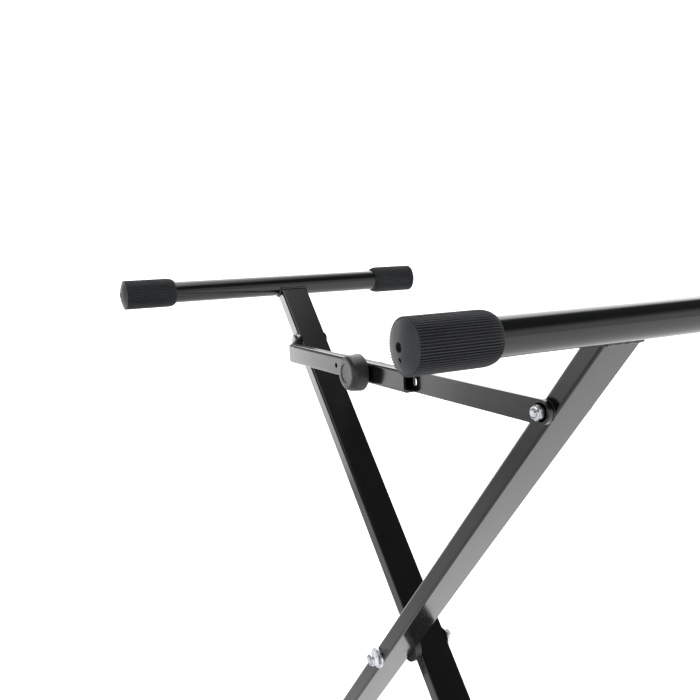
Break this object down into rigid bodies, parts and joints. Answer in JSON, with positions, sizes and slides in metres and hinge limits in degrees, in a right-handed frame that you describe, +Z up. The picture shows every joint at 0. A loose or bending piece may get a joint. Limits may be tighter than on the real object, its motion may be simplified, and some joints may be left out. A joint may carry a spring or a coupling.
{
  "type": "keyboard stand",
  "caption": "Folding stand for an electronic keyboard: crossed steel legs on a centre pivot, padded support arms, foot tubes with shoes, and a sliding brace held by a clamp knob.",
  "frame": {"origin": "on the floor, below the centre pivot and midway between the four shoes", "axes": "+X to the player's right across the stand, +Y along the arms to the rear, +Z up"},
  "size_m": [0.6362, 0.43, 0.7414],
  "materials": {
    "coated_steel": "semi-gloss powder coat",
    "rubber": "matte moulded rubber",
    "zinc_steel": "bright zinc plate",
    "black_plastic": "satin moulded plastic",
    "nylon": "natural black nylon"
  },
  "bodies": {
    "pivot": {"pivot_bolt": "zinc_steel", "pivot_spacer": "nylon", "pivot_washers": "zinc_steel", "pivot_nut": "zinc_steel"},
    "rear_frame": {"rear_leg": "coated_steel", "left_arm_tube": "coated_steel", "right_foot_tube": "coated_steel", "left_arm_front_grip": "rubber", "left_arm_rear_grip": "rubber", "right_foot_front_shoe": "rubber", "right_foot_rear_shoe": "rubber", "rear_leg_sleeve": "zinc_steel", "channel_pivot_rivet": "coated_steel", "channel_slip_washer": "nylon"},
    "front_frame": {"front_leg": "coated_steel", "right_arm_tube": "coated_steel", "left_foot_tube": "coated_steel", "right_arm_front_grip": "rubber", "right_arm_rear_grip": "rubber", "left_foot_front_shoe": "rubber", "left_foot_rear_shoe": "rubber", "front_leg_sleeve": "zinc_steel", "bar_pivot_bolt": "zinc_steel", "bar_slip_washer": "nylon", "bar_washer": "nylon", "bar_pivot_nut": "zinc_steel"},
    "channel": {"brace_channel": "coated_steel", "clamp_nut": "coated_steel"},
    "bar": {"brace_bar": "coated_steel"},
    "clamp": {"clamp_knob": "black_plastic", "clamp_screw": "zinc_steel", "clamp_washer": "zinc_steel"}
  },
  "joints": [
    {"name": "fold", "type": "hinge", "parent": "pivot", "child": "front_frame", "pos_m": [0, 0, 0.37038], "axis": [0, 1, 0], "range_deg": [-7, 5]},
    {"name": "rear_fold", "type": "hinge", "parent": "pivot", "child": "rear_frame", "pos_m": [0, 0, 0.37038], "axis": [0, 1, 0], "range_deg": [-5, 7]},
    {"name": "channel_swing", "type": "hinge", "parent": "rear_frame", "child": "channel", "pos_m": [-0.24603, 0, 0.65998], "axis": [0, 1, 0], "range_deg": [-7, 5]},
    {"name": "bar_swing", "type": "hinge", "parent": "front_frame", "child": "bar", "pos_m": [0.24603, 0, 0.65998], "axis": [0, 1, 0], "range_deg": [-5, 7]},
    {"name": "clamp_turn", "type": "hinge", "parent": "channel", "child": "clamp", "pos_m": [0.01197, 0, 0.65998], "axis": [0, 1, 0], "range_deg": [-270, 0]}
  ],
  "couplings": [
    {"joint": "rear_fold", "follows": "fold", "ratio": -1},
    {"joint": "channel_swing", "follows": "fold", "ratio": 1},
    {"joint": "bar_swing", "follows": "fold", "ratio": -1}
  ]
}
